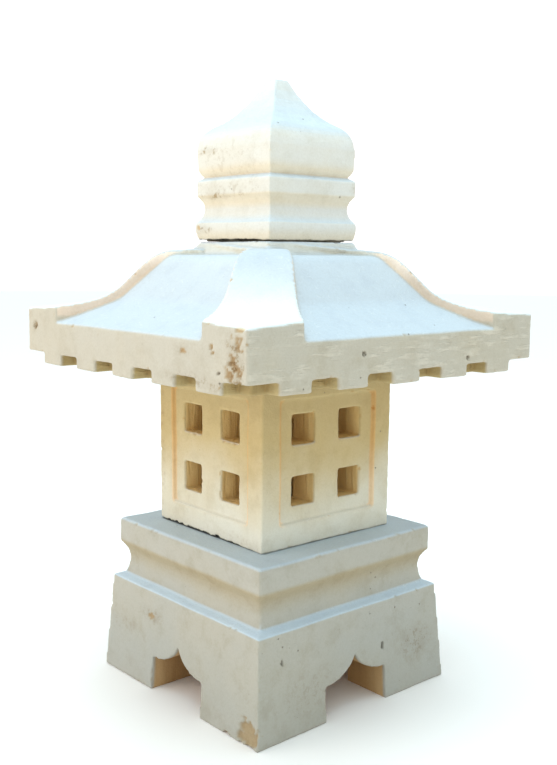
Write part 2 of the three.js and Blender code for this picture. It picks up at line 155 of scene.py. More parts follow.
# Where the carving and the tones begin and end on the stones, in millimetres. A pair is where
# a fade starts and where it is complete.
ABOVE_ARCHES = 88
FOOT_REACH = 154.7  # just inside the base's outer faces, at the ground
FOOT_LEAN = 0.069  # how far those faces lean in for each unit of height
NECK_ROUNDED = (131, 137, 165, 169)  # a band: it starts, is full, begins to fade and ends
# The base stone's neck, where warm shade is painted.
NECK_WARM = (126, 132, 168, 174)
NECK_WARMING = (134, 166)
FIELD_SET_BACK = 5  # the windows' reveals start this far behind the lamp house's outer faces
# The lamp house's field borders, where warm bounce light is painted.
FIELD_BORDER = (67, 72, 78, 82)  # a band, out from the middle of each face
FIELD_EDGE = (76, 72)  # above and below the lamp house's middle
FASCIA_REACH = 223.5  # just inside the roof's outer faces
ABOVE_NOTCHES = 422
# The roof's ridge sides, where warm bounce light is painted.
RIDGE_SIDES_FOOT = (462, 468)
RIDGE_SIDES_TOP = 545
RIDGE_SIDES_START = (94, 112)
RIDGE_SIDES_END = 222
RIDGE_START = 90  # the ridges' tops widen outwards from here, along the diagonal
RIDGE_HALF_WIDTH = 21
RIDGE_GROWTH = 0.171  # half width gained for each unit outwards
# Where the painted highlight on the ridge tops starts.
CREST_FOOT = (466, 472)
CREST_START = (140, 220)
FINIAL_HALF = 67.9  # half the finial's width at its joint with the roof
SCREW_LENGTH = 24  # under its head
BUSH_LIP = 3  # how far the cable bush hangs below the hollow's ceiling


# ---- Noise ------------------------------------------------------------------------------------

class Noise:
    """Smooth random values at points, one cell per unit, the same for the same seed."""

    GAIN = 1.6  # spreads most values over about -1 to 1

    def __init__(self, seed):
        random = np.random.default_rng(seed)
        self.order = random.permutation(256)
        directions = random.normal(size=(256, 3))
        self.directions = directions / np.linalg.norm(directions, axis=1)[:, None]

    def at(self, points):
        cell = np.floor(points).astype(np.int64)
        local = points - cell
        fade = local**3 * (local * (local * 6 - 15) + 10)
        total = np.zeros(len(points))
        for corner in itertools.product((0, 1), repeat=3):
            x, y, z = (cell + np.array(corner)).T & 255
            pick = self.order[(self.order[(self.order[x] + y) & 255] + z) & 255]
            reach = ((local - corner) * self.directions[pick]).sum(axis=1)
            total += np.where(corner, fade, 1 - fade).prod(axis=1) * reach
        return total * self.GAIN

    def layered(self, points, layers):
        total = np.zeros(len(points))
        for layer in range(layers):
            total += self.at(points * 2.03**layer + 17.3 * layer) * 0.5**layer
        return total


def smooth_step(values, low, high):
    share = np.clip((values - low) / (high - low), 0, 1)
    return share * share * (3 - 2 * share)


def fade_in(values, pair):
    """0 before a pair of places in millimetres, and 1 past them."""
    return smooth_step(values, pair[0] * MM, pair[1] * MM)


def band(values, edges):
    """1 between the middle two of four places, fading to 0 at the outer two."""
    start, full, fading, end = edges
    return fade_in(values, (start, full)) * fade_in(values, (end, fading))


# ---- Dense meshes -----------------------------------------------------------------------------

class Skin:
    """The vertices of a dense mesh, with what carving needs to know about them."""

    def __init__(self, mesh):
        self.mesh = mesh
        self.points = np.zeros(len(mesh.vertices) * 3)
        mesh.vertices.foreach_get("co", self.points)
        self.points = self.points.reshape(-1, 3)
        edges = np.zeros(len(mesh.edges) * 2, np.int64)
        mesh.edges.foreach_get("vertices", edges)
        self.first, self.second = edges.reshape(-1, 2).T
        count = len(self.points)
        starts = np.bincount(self.first, minlength=count)
        self.links = starts + np.bincount(self.second, minlength=count)

    def averaged(self, values, times):
        """Values after each has moved halfway to its neighbours' mean, so many times."""
        values = values.copy()
        for _ in range(times):
            mean = np.zeros_like(values)
            for axis in range(values.shape[1]):
                column = values[:, axis]
                mean[:, axis] += np.bincount(self.first, column[self.second], len(values))
                mean[:, axis] += np.bincount(self.second, column[self.first], len(values))
            values += 0.5 * (mean / self.links[:, None] - values)
        return values

    def write(self):
        self.mesh.vertices.foreach_set("co", self.points.astype(np.float32).ravel())
        self.mesh.update()

    def normals(self):
        self.write()
        found = np.zeros(len(self.points) * 3, np.float32)
        self.mesh.vertex_normals.foreach_get("vector", found)
        return found.reshape(-1, 3).astype(float)

    def bulge(self, reach):
        """How far each point stands out of the surface round it, in metres. Edges are positive."""
        around = self.averaged(self.points, reach)
        return ((self.points - around) * self.normals()).sum(axis=1)

    def store(self, name, values):
        layer = self.mesh.attributes.new(name, "FLOAT", "POINT")
        layer.data.foreach_set("value", values.astype(np.float32))


def dense_copy(name, node, voxel):
    """A new object with a CAD node's shape, remeshed into small even faces."""
    mesh = bpy.data.meshes.new(name)
    shape = bmesh.new()
    shape.from_mesh(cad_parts[node].data)
    bmesh.ops.remove_doubles(shape, verts=shape.verts, dist=0.01 * MM)
    shape.to_mesh(mesh)
    surface = BVHTree.FromBMesh(shape)
    shape.free()
    piece = bpy.data.objects.new(name, mesh)
    bpy.context.scene.collection.objects.link(piece)
    remesh = piece.modifiers.new("remesh", "REMESH")
    remesh.mode = "VOXEL"
    remesh.voxel_size = voxel
    depsgraph = bpy.context.evaluated_depsgraph_get()
    dense = bpy.data.meshes.new_from_object(piece.evaluated_get(depsgraph))
    for vertex in dense.vertices:
        vertex.co = surface.find_nearest(vertex.co)[0]
    piece.modifiers.clear()
    piece.data = dense
    dense.shade_smooth()
    return piece


# ---- Carving ----------------------------------------------------------------------------------

def within(points, centre, half_sizes, ragged):
    """How far outside an ellipsoid each point is: 0 at its centre and 1 on its skin."""
    offset = (points - np.array(centre) * MM) / (np.array(half_sizes) * MM)
    return np.linalg.norm(offset, axis=1) + ragged


def reach_of(points):
    """How far out from the lantern's axis each point lies, as the half size of a square."""
    return np.abs(points[:, :2]).max(axis=1)


def wander(skin, seed, reach):
    """Lets flat faces and straight edges stray a little, as hand work does."""
    for axis in range(3):
        drift = Noise(seed + axis).layered(skin.points / (95 * MM), 2)
        skin.points[:, axis] += reach * drift


def dress(skin, seed):
    """The low, smooth unevenness that rubbing down leaves on every face, with a few dents."""
    normal = skin.normals()
    waves = Noise(seed + 5).layered(skin.points / (21 * MM), 3)
    dents = smooth_step(Noise(seed + 6).at(skin.points / (13 * MM)), 0.5, 0.9)
    skin.points += normal * (0.22 * MM * waves - 0.5 * MM * dents)[:, None]


def wear_edges(skin, seed, depth, exposed):
    """Takes chips and a little wear off the exposed edges, and returns where the chips are."""
    normal = skin.averaged(skin.normals(), 3)
    edge = smooth_step(skin.bulge(5), 0.12 * MM, 0.6 * MM) * exposed
    patchy = Noise(seed + 7).layered(skin.points / (15 * MM), 3)
    chip = edge * smooth_step(patchy, 0.5, 0.85)
    worn = edge * smooth_step(Noise(seed + 8).layered(skin.points / (8 * MM), 2), -0.4, 0.6)
    skin.points -= normal * (depth * chip + 0.35 * MM * worn)[:, None]
    return chip


def break_flakes(skin, seed, flakes):
    """Breaks pieces off, or makes holes, at given places, and returns where."""
    normal = skin.averaged(skin.normals(), 2)
    ragged = 0.45 * Noise(seed + 9).layered(skin.points / (9 * MM), 2)
    floor = 1 + 0.35 * Noise(seed + 10).at(skin.points / (4 * MM))
    broken = np.zeros(len(skin.points))
    for centre, half_sizes, depth in flakes:
        share = smooth_step(within(skin.points, centre, half_sizes, ragged), 1.05, 0.7)
        skin.points -= normal * (share * floor * depth * MM)[:, None]
        broken = np.maximum(broken, share)
    return broken


def tear_patch(skin, seed):
    """Pits a patch of the roof's fascia, where the stone tore out in lumps."""
    normal = skin.normals()
    ragged = 0.3 * Noise(seed + 11).layered(skin.points / (12 * MM), 2)
    patch = smooth_step(within(skin.points, *ROUGH_PATCH, ragged), 1.1, 0.8)
    low = smooth_step(skin.points[:, 2], 452 * MM, 428 * MM)
    lumps = Noise(seed + 12).layered(skin.points / (6 * MM), 2) + 0.25 * low
    torn = patch * smooth_step(lumps, 0.05, 0.4)
    skin.points -= normal * (1.7 * MM * torn)[:, None]
    return torn


def open_joint(skin, seed, seat, half, least, left_most):
    """Leaves a ragged gap under a stone's rim: about least, and up to left_most on its left."""
    x, y, z = skin.points.T
    left = smooth_step(-y, half - 24 * MM, half - 4 * MM) * smooth_step(x, 0.7 * half, 0.25 * half)
    ragged = np.clip(0.6 + 0.9 * Noise(seed + 13).layered(skin.points / (10 * MM), 3), 0.15, 1.1)
    gap = ragged * (least + (left_most - least) * left)
    rim = smooth_step(reach_of(skin.points), half - 16 * MM, half - 11 * MM)
    fade = smooth_step(z - seat, 5 * MM, 1 * MM)
    skin.points[:, 2] += gap * rim * fade


def seat_flat(skin, seats):
    """Keeps the faces that stones rest on flat: nothing stands out past a seat."""
    low, high = skin.points[:, 2].min(), skin.points[:, 2].max()
    for height, side, _ in seats:
        near = np.abs(skin.points[:, 2] - height) < 4 * MM
        past = near & (side * (skin.points[:, 2] - height) < 0)
        skin.points[past, 2] = height
    skin.points[:, 2] = np.clip(skin.points[:, 2], max(low, 0), high)


def set_back(node, points):
    """How far reveals, notches and arches lie behind the stone's outer faces, in metres."""
    reach, z = reach_of(points), points[:, 2]
    if node == "lamp_house":
        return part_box(node)[1].x - FIELD_SET_BACK * MM - reach
    if node == "base_stone":
        return (FOOT_REACH * MM - z * FOOT_LEAN - reach) * (z < ABOVE_ARCHES * MM)
    if node == "roof":
        return (FASCIA_REACH * MM - reach) * (z < ABOVE_NOTCHES * MM)
    return np.zeros(len(points))


def painted_bounce_light(node, points, facing):
    """1 where painted warm light and shade go: the neck, fields' borders, ridges' sides and
    undersides.
    """
    reach, z = reach_of(points), points[:, 2]
    if node == "base_stone":
        return band(z, NECK_WARM) * fade_in(z, NECK_WARMING)
    if node == "lamp_house":
        along = np.abs(points[:, :2]).min(axis=1)
        middle = 0.5 * (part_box(node)[0].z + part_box(node)[1].z)
        wall = smooth_step(np.abs(facing[:, :2]).max(axis=1), 0.995, 0.90)
        return band(along, FIELD_BORDER) * fade_in(np.abs(z - middle), FIELD_EDGE) * wall
    if node == "roof":
        upright = smooth_step(np.abs(facing[:, 2]), 0.6, 0.35)
        on_ridge = fade_in(z, RIDGE_SIDES_FOOT) * (z < RIDGE_SIDES_TOP * MM)
        along_ridge = fade_in(reach, RIDGE_SIDES_START) * (reach < RIDGE_SIDES_END * MM)
        return upright * on_ridge * along_ridge
    return smooth_step(facing[:, 2], 0.1, -0.35)


def crest_highlight(node, points):
    """1 on the tops of the hip ridges, where a pale painted highlight lies."""
    if node != "roof":
        return np.zeros(len(points))
    out = np.abs(points[:, :2]).sum(axis=1) / math.sqrt(2)
    across = np.abs(np.abs(points[:, 0]) - np.abs(points[:, 1])) / math.sqrt(2)
    half_width = RIDGE_HALF_WIDTH * MM + (out - RIDGE_START * MM) * RIDGE_GROWTH
    ridge = smooth_step(half_width - across, -2 * MM, 2 * MM)
    return ridge * fade_in(points[:, 2], CREST_FOOT) * fade_in(out, CREST_START)


def joint_grime_and_shade(points, facing, seats):
    """Up to 1 on the rims of the faces that meet in a joint: grime, and painted shade
    that blackens the gap. The right side stays paler.
    """
    dirt_and_shade = np.zeros(len(points))
    patchy = smooth_step(Noise(9).layered(points / (33 * MM), 4), -0.6, 0.4)
    reach, z = reach_of(points), points[:, 2]
    for height, side, half in seats:
        faces_joint = (np.abs(z - height) < 5 * MM) & (facing[:, 2] * side < -0.4)
        rim = smooth_step(reach, half + 0.6 * MM, half - 0.8 * MM)
        rim *= smooth_step(reach, half - (14 + 10 * patchy) * MM, half - 5 * MM)
        clean = 0.55 * smooth_step(points[:, 0], half - 25 * MM, half - 8 * MM)
        dirt_and_shade = np.maximum(dirt_and_shade, rim * faces_joint * (0.75 + 0.25 * patchy) * (1 - clean))
    return dirt_and_shade


def turn(points, degrees):
    """Turns points about the lantern's axis."""
    angle = math.radians(degrees)
    x, y = points[:, 0].copy(), points[:, 1].copy()
    points[:, 0] = x * math.cos(angle) - y * math.sin(angle)
    points[:, 1] = x * math.sin(angle) + y * math.cos(angle)


def soften(skin, node):
    """Takes the sharpness off the remeshed solid, and rounds the base stone's neck."""
    skin.points = skin.averaged(skin.points, 1)
    if node == "base_stone":
        neck = band(skin.points[:, 2], NECK_ROUNDED)
        skin.points += (skin.averaged(skin.points, 12) - skin.points) * neck[:, None]


def store_tones(skin, node, seats):
    """Stores where the tone, painted light and painted shade change, and returns what is hidden
    and how dark joints are from grime and painted shade.
    """
    facing = skin.normals()
    # Tops, where the stone is painted paler and, on most stones, blue with sky light.
    skin.store("up", smooth_step(facing[:, 2], 0.25, 0.75))
    skin.store("rasp", smooth_step(np.abs(facing[:, 0]), 0.8, 0.95) * (node == "roof"))
    back = set_back(node, skin.points)
    hidden = smooth_step(back, 0, 4 * MM)
    # Reveals, arches and notches, whose tone is partly the stone's and partly painted warm shade.
    skin.store("depth", hidden)
    # Painted shade that grows farther back in reveals, arches and notches.
    skin.store("deep_shade", smooth_step(back, 6 * MM, 34 * MM))
    # The places of painted warm bounce light and shade.
    skin.store("warm", painted_bounce_light(node, skin.points, skin.averaged(facing, 3)))
    # Painted highlight on the ridge tops.
    skin.store("crest_highlight", crest_highlight(node, skin.points))
    return hidden, joint_grime_and_shade(skin.points, facing, seats)


def stained_and_shaded(skin, seed, stains):
    """Up to 1 in the brown places, and in the finial's painted shade."""
    ragged = 0.3 * Noise(seed + 14).layered(skin.points / (20 * MM), 2)
    stain_and_shade = np.zeros(len(skin.points))
    for centre, half_sizes, strength in stains:
        share = smooth_step(within(skin.points, centre, half_sizes, ragged), 1.1, 0.3)
        stain_and_shade = np.maximum(stain_and_shade, strength * share)
    return stain_and_shade


def carve(piece, node, seed, seats):
    """Turns a sharp, even solid into hand-cut, weathered stone."""
    skin = Skin(piece.data)
    soften(skin, node)
    hidden, dirt_and_shade = store_tones(skin, node, seats)
    wander(skin, seed, 0.7 * MM)
    dress(skin, seed)
    chip = wear_edges(skin, seed, 2.2 * MM, 1 - hidden)
    chip = np.maximum(chip, break_flakes(skin, seed, FLAKES[node]))
    hole = break_flakes(skin, seed, HOLES.get(node, []))
    if node == "roof":
        torn = tear_patch(skin, seed)
        chip = np.maximum(chip, torn)
        dirt_and_shade = np.maximum(dirt_and_shade, 0.2 * torn)
    seat_flat(skin, seats)
    if node in JOINT_GAPS:
        height, _, half = seats[0]
        open_joint(skin, seed, height, half, *(gap * MM for gap in JOINT_GAPS[node]))

    bulge = skin.bulge(4)
    # Outer edges, made paler by wear and by a painted highlight.
    skin.store("edge", smooth_step(bulge, 0.08 * MM, 0.5 * MM))
    # Inner corners, darkened with painted shade.
    skin.store("recess", smooth_step(-bulge, 0.05 * MM, 0.45 * MM))
    skin.store("chip", chip)
    # Holes are painted near black as shade, like the joints' grime and painted shade.
    skin.store("dirt_and_shade", np.maximum(dirt_and_shade, 0.8 * hole))
    skin.store("stain_and_shade", stained_and_shaded(skin, seed, STAINS_AND_SHADE[node]))
    turn(skin.points, TURNED.get(node, 0.0))
    skin.write()


def stone(node, body, seed, seats, finish):
    piece = dense_copy(node + "_carved", node, VOXEL[node] * MM)
    carve(piece, node, seed, seats)
    piece.data.materials.clear()
    piece.data.materials.append(finish)
    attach(piece, body)
    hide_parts(node)


# ---- Materials --------------------------------------------------------------------------------

class Nodes:
    """A short way to write a material's node tree."""

    def __init__(self, name):
        self.material = bpy.data.materials.new(name)
        self.material.use_nodes = True
        self.tree = self.material.node_tree
        self.shader = self.tree.nodes["Principled BSDF"]
        self.place = self.add("ShaderNodeTexCoord").outputs["Object"]

    def add(self, kind, **settings):
        node = self.tree.nodes.new(kind)
        for key, value in settings.items():
            setattr(node, key, value)
        return node

    def join(self, source, socket):
        if isinstance(source, bpy.types.NodeSocket):
            self.tree.links.new(source, socket)
        else:
            socket.default_value = source

    def noise(self, scale, detail=3.0, roughness=0.55, place=None, distortion=0.0):
        node = self.add("ShaderNodeTexNoise")
        self.join(place or self.place, node.inputs["Vector"])
        node.inputs["Scale"].default_value = scale
        node.inputs["Detail"].default_value = detail
        node.inputs["Roughness"].default_value = roughness
        node.inputs["Distortion"].default_value = distortion
        return node.outputs["Fac"]

    def stretched(self, scale, tilt=0.0):
        """The place, squeezed along each axis, after a turn about X in degrees."""
        node = self.add("ShaderNodeMapping")
        self.join(self.place, node.inputs["Vector"])
        node.inputs["Scale"].default_value = scale
        node.inputs["Rotation"].default_value = (math.radians(tilt), 0, 0)
        return node.outputs["Vector"]

    def ramp(self, value, low, high, start=0.0, end=1.0):
        node = self.add("ShaderNodeMapRange", interpolation_type="SMOOTHSTEP")
        self.join(value, node.inputs["Value"])
        node.inputs["From Min"].default_value = low
        node.inputs["From Max"].default_value = high
        node.inputs["To Min"].default_value = start
        node.inputs["To Max"].default_value = end
        return node.outputs["Result"]

    def math(self, operation, first, second):
        node = self.add("ShaderNodeMath", operation=operation)
        self.join(first, node.inputs[0])
        self.join(second, node.inputs[1])
        return node.outputs["Value"]

    def times(self, first, second):
        return self.math("MULTIPLY", first, second)

    def mix(self, share, first, second, blend_type="MIX"):
        node = self.add("ShaderNodeMix", data_type="RGBA", blend_type=blend_type)
        self.join(share, node.inputs["Factor"])
        self.join(opaque(first), node.inputs["A"])
        self.join(opaque(second), node.inputs["B"])
        return node.outputs["Result"]

    def attribute(self, name):
        return self.add("ShaderNodeAttribute", attribute_name=name).outputs["Fac"]

    def height(self):
        split = self.add("ShaderNodeSeparateXYZ")
        self.join(self.place, split.inputs["Vector"])
        return split.outputs["Z"]

    def pits(self, spacing, radius, share):
        """Round pits in some cells of a grid: 1 inside a pit and 0 elsewhere. Metres."""
        node = self.add("ShaderNodeTexVoronoi")
        self.join(self.place, node.inputs["Vector"])
        node.inputs["Scale"].default_value = 1 / spacing
        inside = self.ramp(node.outputs["Distance"], radius / spacing, 0.6 * radius / spacing)
        split = self.add("ShaderNodeSeparateColor")
        self.join(node.outputs["Color"], split.inputs["Color"])
        return self.times(inside, self.math("GREATER_THAN", split.outputs["Red"], 1 - share))

    def bump(self, height, distance, onto=None):
        node = self.add("ShaderNodeBump")
        self.join(height, node.inputs["Height"])
        node.inputs["Distance"].default_value = distance
        if onto is not None:
            self.join(onto, node.inputs["Normal"])
        return node.outputs["Normal"]

    def finish(self, color, roughness, normal=None, **settings):
        self.join(opaque(color), self.shader.inputs["Base Color"])
        self.join(roughness, self.shader.inputs["Roughness"])
        if normal is not None:
            self.join(normal, self.shader.inputs["Normal"])
        for name, value in settings.items():
            self.shader.inputs[name.replace("_", " ")].default_value = value
        return self.material


def opaque(color):
    return (*color, 1) if isinstance(color, tuple) and len(color) == 3 else color


def stone_tone(n, foot, head, reach, hidden, bleached, warm, mottle_share):
    """The stone's colour by height and place, mottled and clouded, with painted light and shade."""
    rise = n.math("ADD", n.height(), n.ramp(n.noise(9, 3), 0.3, 0.7, -0.02, 0.02))
    color = n.mix(n.ramp(rise, *reach), foot, head)
    cloud = n.ramp(n.noise(8, 4, 0.6), 0.36, 0.66)
    color = n.mix(n.times(cloud, 0.30), color, (1.0, 0.93, 0.80), "MULTIPLY")
    blotch = n.ramp(n.noise(34, 5, 0.65), 0.46, 0.70)
    color = n.mix(n.times(blotch, mottle_share), color, (0.80, 0.76, 0.68), "MULTIPLY")
    # Painted warm bounce light and shade on necks, field borders, ridge sides and undersides.
    color = n.mix(n.attribute("warm"), color, warm, "MULTIPLY")
    # Tops paler, and blue on most stones: partly bleached stone, partly painted sky light.
    top = n.times(n.attribute("up"), 0.85)
    color = n.mix(top, color, bleached)
    # A pale painted highlight on the hip ridges' tops.
    color = n.mix(n.times(n.attribute("crest_highlight"), top), color, (0.84, 0.86, 0.84))
    color = n.mix(n.times(n.times(blotch, top), 0.5), color, (0.90, 0.90, 0.93), "MULTIPLY")
    flecks = n.ramp(n.noise(150, 3, 0.6, distortion=0.5), 0.60, 0.70)
    color = n.mix(n.times(n.times(flecks, top), 0.16), color, (1.0, 1.0, 1.0))
    # Reveals, arches and notches: a tone partly the stone's own, partly painted warm shade.
    color = n.mix(n.times(n.attribute("depth"), 0.9), color, hidden)
    # Painted shade, darker and more orange farther back in reveals, arches and notches.
    return n.mix(n.times(n.attribute("deep_shade"), 0.75), color, (0.66, 0.56, 0.40), "MULTIPLY")


def stone_grain(n, color):
    """The stone's grain, and the colour with it."""
    grain = n.noise(420, 3, 0.6)
    color = n.mix(n.ramp(grain, 0.35, 0.75, 0.0, 0.3), color, (0.86, 0.83, 0.78), "MULTIPLY")
    fine = n.ramp(n.noise(150, 4, 0.7), 0.52, 0.72, 0.0, 0.25)
    return grain, n.mix(fine, color, (0.87, 0.85, 0.80), "MULTIPLY")


def tool_marks(n, color, chiselled):
    """Rasp strokes on the roof's fascias, chisel cuts in hidden places, and the colour."""
    strokes = n.noise(170, 3, 0.6, n.stretched((1.0, 0.12, 1.0), tilt=4), distortion=0.35)
    patches = n.ramp(n.noise(30, 3, 0.6), 0.42, 0.56, 0.2, 1.0)
    rasp = n.times(n.times(n.attribute("rasp"), n.ramp(strokes, 0.48, 0.62)), patches)
    color = n.mix(n.times(n.attribute("rasp"), 0.5), color, (0.93, 0.93, 0.91), "MULTIPLY")
    color = n.mix(n.times(rasp, 0.75), color, (1.24, 1.24, 1.26), "MULTIPLY")
    chisel = n.noise(120, 2, 0.5, n.stretched((1.0, 1.0, 0.12)), distortion=0.3)
    cuts = n.times(n.attribute("depth"), n.ramp(chisel, 0.40, 0.68, 0.0, chiselled))
    return rasp, cuts, n.mix(n.times(cuts, 0.55), color, (0.70, 0.62, 0.50), "MULTIPLY")


def stone_wear(n, color, crease_shade):
    """Pores, and the colour with edges paler from wear and painted highlight, painted shade in
    corners, stains, breaks, and grime and painted shade in joints and holes.
    """
    # Outer edges paler: partly wear, partly painted highlight.
    color = n.mix(n.times(n.attribute("edge"), 0.35), color, (1.12, 1.11, 1.08), "MULTIPLY")
    # Painted shade in inner corners.
    color = n.mix(n.times(n.attribute("recess"), crease_shade), color, (0.80, 0.68, 0.50), "MULTIPLY")
    specks = n.ramp(n.noise(120, 4, 0.75), 0.50, 0.62)
    # Brown stains, and painted shade on the finial's left face.
    stain_and_shade = n.times(n.attribute("stain_and_shade"), n.ramp(specks, 0, 1, 0.25, 1.0))
    color = n.mix(stain_and_shade, color, (0.55, 0.44, 0.30), "MULTIPLY")
    color = n.mix(n.times(n.attribute("chip"), 0.8), color, (0.88, 0.63, 0.34), "MULTIPLY")
    pores = n.math("MAXIMUM", n.pits(15 * MM, 1.3 * MM, 0.10), n.pits(6 * MM, 0.55 * MM, 0.05))
    color = n.mix(n.times(pores, 0.75), color, (0.22, 0.18, 0.13))
    # Joints and holes near black: grime and painted shade.
    return pores, n.mix(n.times(n.attribute("dirt_and_shade"), 0.92), color, (0.05, 0.04, 0.025))


def limestone(name, chiselled=0.3, crease_shade=0.4, **tones):
    """Limestone that goes from one tone at its foot to another at its head.

    In tones, reach is those two heights, hidden the tone of reveals and arches, partly the
    stone's own and partly painted warm shade, bleached that of tops, paler from bleaching and
    blue from painted sky light, and warm the tint of painted warm bounce light and shade.
    chiselled is how much tool marks show in hidden places, and creases how much painted shade
    darkens the inner corners.
    """
    n = Nodes(name)
    grain, color = stone_grain(n, stone_tone(n, **tones))
    rasp, cuts, color = tool_marks(n, color, chiselled)
    pores, color = stone_wear(n, color, crease_shade)
    relief = n.bump(grain, 0.35 * MM)
    relief = n.bump(n.noise(110, 4, 0.6), 0.7 * MM, relief)
    relief = n.bump(rasp, 0.6 * MM, relief)
    relief = n.bump(cuts, 1.0 * MM, relief)
    relief = n.bump(n.math("SUBTRACT", 0.0, pores), 1.0 * MM, relief)
    return n.finish(color, n.ramp(grain, 0.2, 0.8, 0.80, 0.97), relief)


# ---- The stones -------------------------------------------------------------------------------

def seat_heights():
    """Each stone's flat seats: height, +1 if the stone lies above it or -1, and half size."""
    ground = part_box("base_stone")[0].z
    house_low, house_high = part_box("lamp_house")
    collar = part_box("roof")[1].z
    wall = house_high.x
    rim = FINIAL_HALF * MM
    return {
        "base_stone": [(ground, 1, 0.0), (house_low.z, -1, wall)],
        "lamp_house": [(house_low.z, 1, wall), (house_high.z, -1, wall)],
        "roof": [(house_high.z, 1, wall), (collar, -1, rim)],
        "finial": [(collar, 1, rim)],
    }


def stone_finishes():
    return {
        "base_stone": limestone(
            "limestone_base", foot=(0.39, 0.38, 0.34), head=(0.45, 0.42, 0.36),
            reach=(0.02, 0.16), hidden=(0.56, 0.35, 0.15), bleached=(0.56, 0.67, 0.77),
            warm=(0.88, 0.77, 0.58), mottle_share=0.45, crease_shade=0.15),
        # The lamp house's dark orange head is painted shade under the eave, with warm bounce light,
        # and its paler foot is painted sky light.
        "lamp_house": limestone(
            "limestone_house", foot=(0.72, 0.69, 0.60), head=(0.54, 0.41, 0.20),
            reach=(0.19, 0.34), hidden=(0.84, 0.60, 0.26), bleached=(0.72, 0.69, 0.60),
            warm=(1.18, 0.95, 0.76), mottle_share=0.42, chiselled=0.8, crease_shade=0.1),
        "roof": limestone(
            "limestone_roof", foot=(0.53, 0.475, 0.39), head=(0.74, 0.70, 0.62),
            reach=(0.50, 0.56), hidden=(0.47, 0.35, 0.15), bleached=(0.56, 0.61, 0.67),
            warm=(1.42, 1.26, 1.22), mottle_share=0.4, crease_shade=0.4),
        "finial": limestone(
            "limestone_finial", foot=(0.73, 0.70, 0.65), head=(0.76, 0.73, 0.68),
            reach=(0.58, 0.70), hidden=(0.40, 0.27, 0.13), bleached=(0.60, 0.65, 0.69),
            warm=(1.04, 0.94, 0.79), mottle_share=0.3, crease_shade=0.5),
    }


def build_stones():
    seats = seat_heights()
    finishes = stone_finishes()
    for index, (node, body) in enumerate(STONES.items()):
        stone(node, body, 40 + 20 * index, seats[node], finishes[node])


# ---- The light fitting ------------------------------------------------------------------------
# Outlines are [distance from the axis, height, corner radius] in millimetres.

def starts_on_axis(points):
    return points[0][0] < 0.001


def rounded(outline, steps=4):
    """The points of an outline, with its corners rounded."""
    points = []
    ends = (0, len(outline) - 1) if starts_on_axis(outline) else ()
    for index, (x, z, radius) in enumerate(outline):
        if radius == 0 or index in ends:
            points.append((x, z))
            continue
        corner = Vector((x, z))
        before = Vector(outline[index - 1][:2]) - corner
        after = Vector(outline[(index + 1) % len(outline)][:2]) - corner
        reach = min(radius, 0.45 * before.length, 0.45 * after.length)
        start, end = corner + before.normalized() * reach, corner + after.normalized() * reach
        for step in range(steps + 1):
            t = step / steps
            points.append(tuple((1 - t)**2 * start + 2 * t * (1 - t) * corner + t * t * end))
    return points


def ladder(radius, low, high, step=0.3):
    """A straight upright stretch of an outline, in steps small enough to carry a thread."""
    count = max(2, round(abs(high - low) / step))
    return [(radius, low + (high - low) * i / count, 0) for i in range(count + 1)]


def arc(centre, radius, start, end, steps=36):
    """Part of a circle round a point on the axis, between two angles above its equator."""
    angles = [start + (end - start) * i / steps for i in range(steps + 1)]
    return [(max(0.0, radius * math.cos(a)), centre + radius * math.sin(a), 0) for a in angles]


def turned(outline, sides=96):
    """A mesh turned from an outline, which is closed, or has both its ends on the axis."""
    points = rounded(outline)
    shape = bmesh.new()
    verts = [shape.verts.new((x * MM, 0, z * MM)) for x, z in points]
    pairs = list(zip(verts, verts[1:]))
    if not starts_on_axis(points):
        pairs.append((verts[-1], verts[0]))
    for first, second in pairs:
        shape.edges.new((first, second))
    bmesh.ops.spin(shape, geom=shape.verts[:] + shape.edges[:], cent=(0, 0, 0), axis=(0, 0, 1),
                   angle=2 * math.pi, steps=sides, use_merge=True)
    bmesh.ops.remove_doubles(shape, verts=shape.verts, dist=0.002 * MM)
    bmesh.ops.recalc_face_normals(shape, faces=shape.faces)
    mesh = bpy.data.meshes.new("turned")
    shape.to_mesh(mesh)
    shape.free()
    return mesh


def threaded(mesh, low, high, pitch, depth, inner=0.0):
    """Winds a helical thread, fading at its ends, onto the walls between two heights."""
    for vertex in mesh.vertices:
        x, y, z = vertex.co / MM
        radius = math.hypot(x, y)
        if radius <= inner or not low < z < high:
            continue
        fade = min(1.0, (z - low) / pitch, (high - z) / pitch)
        wave = depth * fade * math.cos(2 * math.pi * z / pitch - math.atan2(y, x))
        vertex.co.x *= 1 + wave / radius
        vertex.co.y *= 1 + wave / radius
    return mesh


def box_mesh(half_x, half_y, low, high):
    mesh = bpy.data.meshes.new("box")
    shape = bmesh.new()
    bmesh.ops.create_cube(shape, size=2)
    shape.transform(Matrix.Translation((0, 0, 0.5 * (low + high) * MM)) @ Matrix.Diagonal(
        (half_x * MM, half_y * MM, 0.5 * (high - low) * MM, 1)))
    shape.to_mesh(mesh)
    shape.free()
    return mesh


def moved(mesh, x, y, z):
    mesh.transform(Matrix.Translation((x * MM, y * MM, z * MM)))
    return mesh


def cut(mesh, cutters):
    """A mesh with other meshes cut out of it."""
    objects = [bpy.data.objects.new("cut", part) for part in (mesh, *cutters)]
    for item in objects:
        bpy.context.scene.collection.objects.link(item)
    for cutter in objects[1:]:
        modifier = objects[0].modifiers.new("cut", "BOOLEAN")
        modifier.operation = "DIFFERENCE"
        modifier.solver = "EXACT"
        modifier.object = cutter
    depsgraph = bpy.context.evaluated_depsgraph_get()
    result = bpy.data.meshes.new_from_object(objects[0].evaluated_get(depsgraph))
    for item in objects:
        bpy.data.objects.remove(item)
    return result


